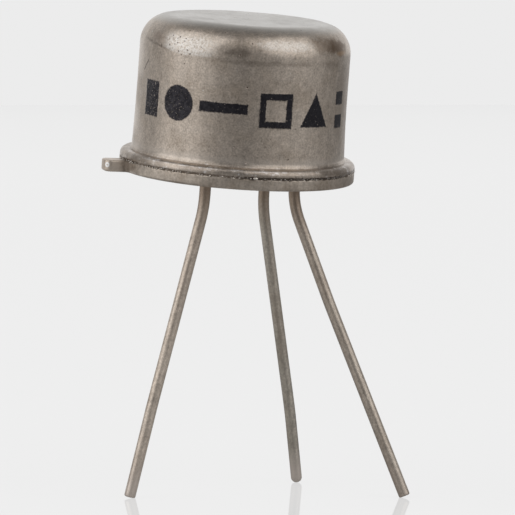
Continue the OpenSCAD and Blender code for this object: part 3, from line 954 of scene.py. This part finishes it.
def cap_plating():
    material, tree, shader = metal("cap_plating", 0.38)
    place = upright(tree)
    axes = axes_of(place)
    level = axes[2]
    base = fill(tree, plating, {
        "Vector": place, "Colour": (0.505, 0.438, 0.376), "Tarnish Colour": (0.32, 0.26, 0.203),
        "Tarnish": 0.5, "Cloud Scale": 0.9, "Grain Scale": 15.0, "Grain Contrast": 0.36, "Roughness": 0.31,
    })
    # Drawing marks run up the wall
    drawn = drawn_out(axes, level, 0.12)
    colour = shade(base["Colour"], mottle(drawn, (3.2, 4.0, 0.6), 0.3, 0.72, 0.93, 1.05))
    # The top is painted lighter and greyer than the wall, a painted highlight
    top = times(ramp(level, CAP_TOP - 0.35, CAP_TOP - 0.02), 0.8)
    colour = blend(top, colour, (0.44, 0.43, 0.41))
    patch = ragged_patch()

    def patch_at(facing, height, half_width, half_height, raggedness, softness):
        # In the order of the group's inputs
        values = (place, math.radians(facing), height, half_width, half_height, raggedness, softness)
        return fill(tree, patch, dict(enumerate(values)))["Mask"]

    # The corner is rubbed bright in two patches that also carry a painted highlight; the left one ends in a
    # scuffed crease, lower at the right
    worn_highlight_right = patch_at(276, 5.46, 1.5, 0.26, 1.2, 0.5)
    values = {"Vector": place, "Angle": -PRINT_FACING}
    turned = axes_of(made(tree, "ShaderNodeVectorRotate", values, rotation_type="Z_AXIS"))
    around = times(maths("ARCTAN2", turned[1], turned[0]), CAP_RADIUS)
    scuff = unevenness(place, (3.5, 5.0, 0.7), 0.35)
    crease = ramp(around, -5.31, -2.6, 5.3, 4.84, smooth=False)
    over = minus(maths("MULTIPLY_ADD", scuff, 0.5, level), crease)
    scuffed_around = plus(around, scuff)
    worn_highlight_left = times(
        ramp(over, -0.02, 0.06),
        ramp(plus(level, scuff), 5.75, 5.35),
        ramp(scuffed_around, -3.7, -3.2),
        ramp(scuffed_around, -0.7, -1.9),
    )
    brightening = maths("MAXIMUM", worn_highlight_left, times(worn_highlight_right, 0.64))
    # Wear and painted highlight lighten both patches
    worn_highlight = times(brightening, mottle(place, (13.0, 3.0, 0.8), 0.37, 0.59, 0.04, 0.98))
    colour = blend(worn_highlight, colour, (0.68, 0.645, 0.605))
    line = times(
        ramp(maths("ABSOLUTE", over), 0.075, 0.0),
        ramp(around, -2.9, -3.7, 0.0, 0.42),
        ramp(around, -5.2, -4.6),
        mottle(place, (4.0, 3.0), 0.3, 0.6, 0.3, 1.0),
    )
    colour = blend(line, colour, (0.12, 0.09, 0.07))
    # A slanting scratch below its left end
    tilt = times(minus(level, SCRATCH_HEIGHT), 0.875)
    slant = minus(minus(around, SCRATCH_AROUND), tilt)
    scratch = times(
        ramp(maths("ABSOLUTE", maths("MULTIPLY_ADD", scuff, 0.3, slant)), 0.07, 0.01),
        ramp(apart(level, SCRATCH_HEIGHT), 0.27, 0.17, 0.0, 0.8),
    )
    colour = blend(scratch, colour, (0.07, 0.055, 0.045))
    # Stains, and patches of painted shade on the right and below the shoulder
    for facing, height, half_width, half_height, amount, tone in STAINS_AND_SHADE:
        mask = patch_at(facing, height, half_width, half_height, 1.6, 0.8)
        colour = blend(times(mask, amount), colour, tone)
    # Most pits are in the left patch, and most dust lies on the foot at the right
    scattered = mottle(place, (0.8, 2.0), 0.45, 0.65, 0.01, 0.06)
    pit_share = maths("MULTIPLY_ADD", worn_highlight_left, 0.5, scattered)
    pit_share = maths("MULTIPLY_ADD", worn_highlight_right, 0.05, pit_share)
    dust_share = maths("MULTIPLY_ADD", patch_at(316, 1.05, 1.0, 0.4, 1.0, 0.8), 0.5, 0.14)
    wear = fill(tree, handling_marks(), {"Vector": place, "Pit Share": pit_share, "Dust Share": dust_share})
    colour = blend(times(wear["Pits"], 0.68), colour, (0.07, 0.05, 0.04))
    colour = blend(times(wear["Scratches"], 0.5), colour, (0.62, 0.6, 0.57))
    colour = blend(wear["Dust"], colour, (0.75, 0.73, 0.7))
    # The flange is duller than the wall, and chafed here and there, the chafed specks lightened further as a
    # painted sheen
    flange = ramp(level, FLANGE_TOP + 0.05, FLANGE_TOP - 0.02)
    patchy = times(flange, mottle(place, (2.2, 4.0, 0.65), 0.35, 0.62, 0.0, 0.45))
    colour = blend(patchy, colour, (0.16, 0.13, 0.11))
    chafe_and_sheen = times(flange, mottle(place, (4.0, 5.0, 0.75), 0.55, 0.65, 0.0, 0.6))
    colour = blend(chafe_and_sheen, colour, (0.8, 0.78, 0.785))
    # A painted highlight lightens its edge in front, and another lightens the flare above it
    edge = times(
        ramp(apart(level, EDGE_HIGHLIGHT_HEIGHT), 0.045, 0.01),
        ramp(apart(around, EDGE_HIGHLIGHT_AROUND), 3.6, 2.4),
        mottle(place, (3.0, 5.0, 0.75), 0.42, 0.62, 0.0, 0.4),
    )
    colour = blend(edge, colour, (0.86, 0.83, 0.82))
    flare_highlight = times(
        ramp(level, FLANGE_TOP + 0.06, FLANGE_TOP + 0.12),
        ramp(level, FLANGE_TOP + 0.45, FLANGE_TOP + 0.2),
        0.3,
    )
    colour = blend(flare_highlight, colour, (0.66, 0.6, 0.54))
    soot = fill(tree, burnt, {"Vector": place, "Height": level})["Soot"]
    colour = blend(soot, colour, SOOT_COLOUR)
    # Plain printed marks, on the wall only
    marks = fill(tree, printed_marks(), {"Around": around, "Height": level, "Vector": place})
    radius = measure("LENGTH", flattened(place))
    ink = times(marks["Ink"], maths("GREATER_THAN", radius, CAP_RADIUS - 0.1))
    ink_tone = blend(marks["Thin Ink"], (0.006, 0.006, 0.011), (0.042, 0.04, 0.049))
    covered = maths("MAXIMUM", times(ink, 0.22), wear["Dust"])
    feed(shader, {
        "Base Color": blend(times(ink, 0.98), colour, ink_tone),
        "Metallic": minus(1.0, covered),
        "Roughness": maths("MULTIPLY_ADD", ink, 0.16, base["Roughness"]),
    })
    height = minus(base["Height"], times(wear["Pits"], 2.0))
    relief(shader, plus(height, times(ink, 1.2)), 6.0e-6)
    return material


settle(build_cap(), cap_plating(), "cap")


# Weld. Cap and header are joined by a resistance weld all round. What was pressed out of the seam shows
# between the two flanges as a ragged, burnt ridge with small bright beads on it.

SEAM_RADIUS = 4.5
SEAM_STEPS = 1400
RIDGE_RADIUS = 0.05
RIDGE_SIDES = 12
RAGGEDNESS = 0.08
BEAD_CIRCLE = 4.55
BEADS = 260
WELD_BEAD_RADIUS = 0.036
BEAD_JITTER = 0.035
BEAD_JITTER_UP = 0.025
SPLASH_AT = (-0.69, -4.49, 0.0)
SPLASH_RADIUS = 0.07
# How little of a bead and of the splash is burnt
BEAD_SHINE = 1.0
SPLASH_SHINE = 9.0


def weld_tree():
    tree, given, result = group_tree(
        "weld_seam",
        "Geometry",
        [
            ("Start", "Geometry"),
            ("Seam Radius", "Float"),
            ("Ridge Radius", "Float"),
            ("Raggedness", "Float"),
            ("Bead Circle", "Float"),
            ("Beads", "Int"),
            ("Bead Radius", "Float"),
            ("Splash Radius", "Float"),
            ("Splash At", "Vector"),
            ("Material", "Material"),
        ],
        [("Seam", "Geometry")],
    )

    def circle(steps, radius):
        return made(tree, "GeometryNodeCurvePrimitiveCircle", {"Resolution": steps, "Radius": radius})

    def moved(geometry, offset):
        return made(tree, "GeometryNodeSetPosition", {"Geometry": geometry, "Offset": offset})

    def ball(radius, subdivisions, shine):
        values = {"Radius": radius, "Subdivisions": subdivisions}
        values = {"Geometry": made(tree, "GeometryNodeMeshIcoSphere", values), "Name": "bead", "Value": shine}
        return made(tree, "GeometryNodeStoreNamedAttribute", values, data_type="FLOAT")

    line = circle(SEAM_STEPS, given["Seam Radius"])
    section = circle(RIDGE_SIDES, given["Ridge Radius"])
    ridge = made(tree, "GeometryNodeCurveToMesh", {"Curve": line, "Profile Curve": section})
    texture = add(tree, "ShaderNodeTexNoise", {"Scale": 7.0, "Detail": 3.0, "Roughness": 0.7})
    centred = vectors("SUBTRACT", texture.outputs["Color"], (0.5, 0.5, 0.5))
    values = {0: centred, "Scale": given["Raggedness"]}
    ridge = moved(ridge, made(tree, "ShaderNodeVectorMath", values, operation="SCALE"))

    spots = {"Curve": circle(given["Beads"], given["Bead Circle"])}
    spots = made(tree, "GeometryNodeCurveToPoints", spots, mode="EVALUATED")
    reach = {0: (-BEAD_JITTER,) * 3, 1: (BEAD_JITTER, BEAD_JITTER, BEAD_JITTER_UP), "Seed": 4}
    spots = moved(spots, made(tree, "FunctionNodeRandomValue", reach, data_type="FLOAT_VECTOR"))
    sizes = add(tree, "FunctionNodeRandomValue", {2: 0.25, 3: 1.0, "Seed": 11}, data_type="FLOAT").outputs[1]
    values = {"Points": spots, "Instance": ball(given["Bead Radius"], 2, BEAD_SHINE), "Scale": sizes}
    beads = made(tree, "GeometryNodeInstanceOnPoints", values)
    # One larger splash stands out of the row
    splash = {
        "Geometry": ball(given["Splash Radius"], 3, SPLASH_SHINE),
        "Translation": given["Splash At"],
        "Scale": (1.5, 0.8, 0.8),
    }
    joined = tree.nodes.new("GeometryNodeJoinGeometry")
    for part in (ridge, beads, made(tree, "GeometryNodeTransform", splash)):
        tree.links.new(part, joined.inputs[0])
    end_tree(tree, joined.outputs[0], given["Material"], result)
    return tree


def weld_metal():
    material, tree, shader = metal("weld_scale", 0.35)
    place = place_in_mm(tree)
    bead = add(tree, "ShaderNodeAttribute", attribute_name="bead").outputs["Fac"]
    burnt_here = ramp(measure("DOT_PRODUCT", place, BURNT_SIDE), 3.5, 4.2)
    shine = mottle(place, (2.2, 2.0), 0.35, 0.6, 0.1, 0.9)
    shine = plus(shine, ramp(burnt_here, 0.0, 1.0, 0.7, 0.0))
    scale = mottle(place, (4.0, 4.0, 0.7), 0.3, 0.5, 0.45, 1.0)
    dark = minus(scale, times(bead, shine))
    dark = times(dark, ramp(burnt_here, 0.0, 1.0, 0.85, 0.96))
    scale_tone = blend(burnt_here, (0.13, 0.088, 0.058), SOOT_COLOUR)
    colour = blend(dark, (0.66, 0.61, 0.56), scale_tone)
    feed(shader, {"Base Color": colour, "Roughness": ramp(dark, 0.0, 1.0, 0.25, 0.6)})
    relief(shader, speckle(place, 20.0, 3.0), 4.0e-6)
    return material


weld_finish = weld_metal()
seam = new_object("weld_seam", bpy.data.meshes.new("weld_seam"))
bake_nodes(
    seam,
    weld_tree(),
    {
        "Seam Radius": SEAM_RADIUS,
        "Ridge Radius": RIDGE_RADIUS,
        "Raggedness": RAGGEDNESS,
        "Bead Circle": BEAD_CIRCLE,
        "Beads": BEADS,
        "Bead Radius": WELD_BEAD_RADIUS,
        "Splash Radius": SPLASH_RADIUS,
        "Splash At": SPLASH_AT,
        "Material": weld_finish,
    },
)
seam.data.transform(Matrix.Translation((0, 0, SEAM_HEIGHT)))
settle(seam, weld_finish)


# Camera. Close to the level of the surface and a little round to the left. It stands well back with a long
# lens, so the part's upright lines stay nearly parallel.

VIEW_DIRECTION = Vector((0.312585, 0.948888, -0.04361))
camera_data = bpy.data.cameras.new("camera")
camera_data.sensor_width = 36
camera_data.lens = 258.64
camera_data.clip_start = 0.005
camera_data.clip_end = 20
camera = new_object("camera", camera_data)
camera.location = (-0.04425662, -0.13699034, 0.00304126)
camera.rotation_euler = VIEW_DIRECTION.to_track_quat("-Z", "Y").to_euler()
bpy.context.scene.camera = camera


# Floor and studio. A pale, slightly glossy sheet in a light tent. The tent is white behind the part, greyer
# overhead and darkest at the opening in front, with a soft lamp behind the cloth at either side.

BACKGROUND = (0.838, 0.838, 0.838)
NEAR_TONE = (0.34, 0.34, 0.34)
PAPER_TONE = (0.8, 0.8, 0.8)
FLOOR_REACH = 6.0
LAMP_DISTANCE = 0.6
to_camera = Vector((-VIEW_DIRECTION.x, -VIEW_DIRECTION.y, 0)).normalized()
to_right = Vector((-to_camera.y, to_camera.x, 0))
# Half turns from the camera's side to the right, and the tone that the part sees there
FLOOR_TONES = (
    (-1, 0.9), (-0.82, 0.55), (-0.66, 0.68), (-0.5, 0.74), (-0.3, 0.76), (-0.16, 0.38), (0, 0.21),
    (0.14, 0.28), (0.3, 0.48), (0.5, 0.45), (0.7, 0.23), (0.82, 0.27), (0.92, 0.5), (1, 0.9),
)
# From behind the part (-1) to the front (1)
TENT_TONES = ((-1, 1.05), (-0.93, 1.0), (-0.8, 0.77), (-0.5, 0.4), (-0.1, 0.25), (1, 0.2))


def tent_tone(tree, share, tones):
    """Brightness of the tent or floor by a share from -1 to 1."""
    band = add(tree, "ShaderNodeValToRGB", {0: ramp(share, -1.0, 1.0, smooth=False)})
    steps = band.color_ramp.elements
    while len(steps) < len(tones):
        steps.new(0.5)
    for step, (place, tone) in zip(steps, tones):
        step.position = (place + 1) / 2
        step.color = (tone, tone, tone, 1)
    return band.outputs[0]


def floor_sheet():
    material, tree = blank("floor_sheet")
    seen = add(tree, "ShaderNodeLightPath").outputs["Is Camera Ray"]
    flat = flattened(add(tree, "ShaderNodeNewGeometry").outputs["Position"])
    distance = plus(measure("LENGTH", flat), 0.015)
    ahead = measure("DOT_PRODUCT", flat, to_camera)
    aside = measure("DOT_PRODUCT", flat, to_right)
    turn = maths("DIVIDE", maths("ARCTAN2", aside, ahead), math.pi)
    tone = tent_tone(tree, turn, FLOOR_TONES)
    # Close round the part the sheet is evenly dim
    tone = blend(ramp(distance, 0.062, 0.034), tone, NEAR_TONE)
    paper = made(tree, "ShaderNodeBsdfDiffuse", {"Color": PAPER_TONE})
    shown = grey(ramp(distance, 0.03, 0.7, 0.855, 0.88))
    glow = made(tree, "ShaderNodeEmission", {"Color": blend(seen, tone, shown), "Strength": 1.0})
    body = made(tree, "ShaderNodeMixShader", {0: 0.85, 1: paper, 2: glow})
    gloss = made(tree, "ShaderNodeBsdfGlossy", {"Color": (1, 1, 1), "Roughness": 0.04})
    both = made(tree, "ShaderNodeMixShader", {0: times(seen, 0.2), 1: body, 2: gloss})
    add(tree, "ShaderNodeOutputMaterial", {0: both})
    return material


floor_mesh = bpy.data.meshes.new("floor")
corners = [(x * FLOOR_REACH, y * FLOOR_REACH, 0) for x, y in ((-1, -1), (1, -1), (1, 1), (-1, 1))]
floor_mesh.from_pydata(corners, [], [(0, 1, 2, 3)])
floor_mesh.transform(Matrix.Translation((0, 0, -STAND_HEIGHT * 0.001)))
floor_mesh.materials.append(floor_sheet())
floor = new_object("floor", floor_mesh)

world = bpy.data.worlds.new("light_tent")
world.use_nodes = True
bpy.context.scene.world = world
tree = world.node_tree
tree.nodes.clear()
seen = add(tree, "ShaderNodeLightPath").outputs["Is Camera Ray"]
towards = add(tree, "ShaderNodeTexCoord").outputs["Generated"]
tone = tent_tone(tree, measure("DOT_PRODUCT", towards, to_camera), TENT_TONES)
sky = made(tree, "ShaderNodeBackground", {"Color": blend(seen, tone, BACKGROUND), "Strength": 1.0})
add(tree, "ShaderNodeOutputWorld", {0: sky})

for name, turn, height, width, tall, power in (
    ("lamp_left", -62, 33, 0.78, 0.78, 1.95),
    ("lamp_right", 55, 34, 0.72, 0.74, 1.6),
):
    data = bpy.data.lights.new(name, "AREA")
    data.shape = "RECTANGLE"
    data.size = width
    data.size_y = tall
    data.energy = power
    lamp = new_object(name, data)
    turn, height = math.radians(turn), math.radians(height)
    aim = (to_camera * math.cos(turn) + to_right * math.sin(turn)) * math.cos(height)
    aim.z = math.sin(height)
    lamp.location = aim * LAMP_DISTANCE
    lamp.rotation_euler = aim.to_track_quat("Z", "Y").to_euler()
    lamp.visible_camera = False

scene = bpy.context.scene
scene.view_settings.view_transform = "Standard"
